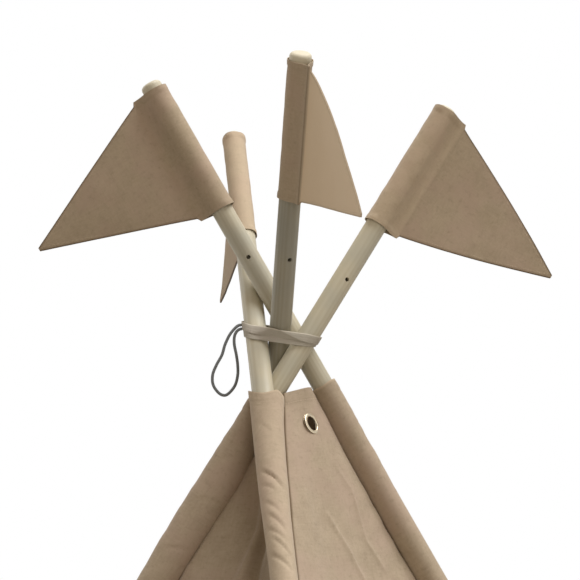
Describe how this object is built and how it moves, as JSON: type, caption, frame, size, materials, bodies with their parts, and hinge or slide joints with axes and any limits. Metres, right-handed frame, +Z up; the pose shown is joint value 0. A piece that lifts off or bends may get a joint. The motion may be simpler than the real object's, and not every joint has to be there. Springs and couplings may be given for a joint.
{
  "type": "kids teepee",
  "caption": "Child's canvas teepee: crossed wooden poles tied by a strap, canvas sides with door flaps, and a pennant on each pole tip.",
  "frame": {"origin": "on the floor at the middle of the base, half-way between the four feet", "axes": "+Z up, -Y out of the door side, +X to the right of someone who faces the door"},
  "size_m": [1.1338, 1.1336, 1.619],
  "materials": {
    "pine": "bare pale pine",
    "canvas": "plain woven cotton canvas",
    "tape": "cotton tape",
    "cord": "grey braided cord",
    "brass": "polished brass",
    "ferrule": "satin tube",
    "rubber": "black rubber"
  },
  "bodies": {
    "front_right": {"front_right_ferrule_lower": "ferrule", "front_right_ferrule_upper": "ferrule", "front_right_foot": "rubber", "front_right_pole_lower": "pine", "front_right_pole_middle": "pine", "front_right_pole_upper": "pine", "front_right_sleeve": "canvas", "panel_right": "canvas", "door_top": "canvas", "eyelet": "brass", "tie_strap": "tape", "hanging_loop": "cord"},
    "front_right_pennant": {"front_right_flag": "canvas"},
    "back_right": {"back_right_ferrule_lower": "ferrule", "back_right_ferrule_upper": "ferrule", "back_right_foot": "rubber", "back_right_pole_lower": "pine", "back_right_pole_middle": "pine", "back_right_pole_upper": "pine", "back_right_sleeve": "canvas", "panel_back": "canvas"},
    "back_right_pennant": {"back_right_flag": "canvas"},
    "back_left": {"back_left_ferrule_lower": "ferrule", "back_left_ferrule_upper": "ferrule", "back_left_foot": "rubber", "back_left_pole_lower": "pine", "back_left_pole_middle": "pine", "back_left_pole_upper": "pine", "back_left_sleeve": "canvas", "panel_left": "canvas"},
    "back_left_pennant": {"back_left_flag": "canvas"},
    "front_left": {"front_left_ferrule_lower": "ferrule", "front_left_ferrule_upper": "ferrule", "front_left_foot": "rubber", "front_left_pole_lower": "pine", "front_left_pole_middle": "pine", "front_left_pole_upper": "pine", "front_left_sleeve": "canvas"},
    "front_left_pennant": {"front_left_flag": "canvas"},
    "door_left": {"door_flap_left": "canvas"},
    "door_right": {"door_flap_right": "canvas"}
  },
  "joints": [
    {"name": "fold_right", "type": "hinge", "parent": "front_right", "child": "back_right", "pos_m": [-0.05005, 0.0004, 1.37159], "axis": [-0.9193, -0.0235, -0.3928], "range_deg": [0, 34.4], "deforming": ["front_right_sleeve", "back_right_sleeve", "panel_right", "door_top", "eyelet", "tie_strap", "hanging_loop", "door_flap_right"]},
    {"name": "fold_back", "type": "hinge", "parent": "back_right", "child": "back_left", "pos_m": [-0.04737, -0.02487, 1.43252], "axis": [-0.0235, -0.9244, -0.3807], "range_deg": [0, 35.7], "deforming": ["panel_back", "back_left_sleeve"]},
    {"name": "fold_left", "type": "hinge", "parent": "back_left", "child": "front_left", "pos_m": [0.0428, -0.05482, 1.43189], "axis": [0.9202, -0.0235, -0.3909], "range_deg": [0, 36.2], "deforming": ["panel_left", "front_left_sleeve", "door_flap_left"]},
    {"name": "front_right_flag_turn", "type": "hinge", "parent": "front_right", "child": "front_right_pennant", "pos_m": [-0.11867, 0.06335, 1.52846], "axis": [-0.3762, 0.3451, 0.8599], "range_deg": [-45, 45]},
    {"name": "back_right_flag_turn", "type": "hinge", "parent": "back_right", "child": "back_right_pennant", "pos_m": [-0.09154, -0.06738, 1.53844], "axis": [-0.3609, -0.3473, 0.8655], "range_deg": [-12, 45]},
    {"name": "back_left_flag_turn", "type": "hinge", "parent": "back_left", "child": "back_left_pennant", "pos_m": [0.08339, -0.09623, 1.52994], "axis": [0.3563, -0.3636, 0.8607], "range_deg": [-45, 45]},
    {"name": "front_left_flag_turn", "type": "hinge", "parent": "front_left", "child": "front_left_pennant", "pos_m": [0.1117, 0.09329, 1.51916], "axis": [0.3723, 0.3619, 0.8547], "range_deg": [-45, 45]},
    {"name": "door_left_swing", "type": "hinge", "parent": "front_left", "child": "door_left", "pos_m": [-0.50819, -0.53192, 0.04529], "axis": [-0.3723, -0.3619, -0.8547], "range_deg": [0, 105]},
    {"name": "door_right_swing", "type": "hinge", "parent": "front_right", "child": "door_right", "pos_m": [0.50788, -0.53169, 0.04529], "axis": [-0.3762, 0.3451, 0.8599], "range_deg": [0, 105]}
  ],
  "couplings": [
    {"joint": "fold_back", "follows": "fold_right", "ratio": 1.0376},
    {"joint": "fold_left", "follows": "fold_right", "ratio": 1.05}
  ]
}
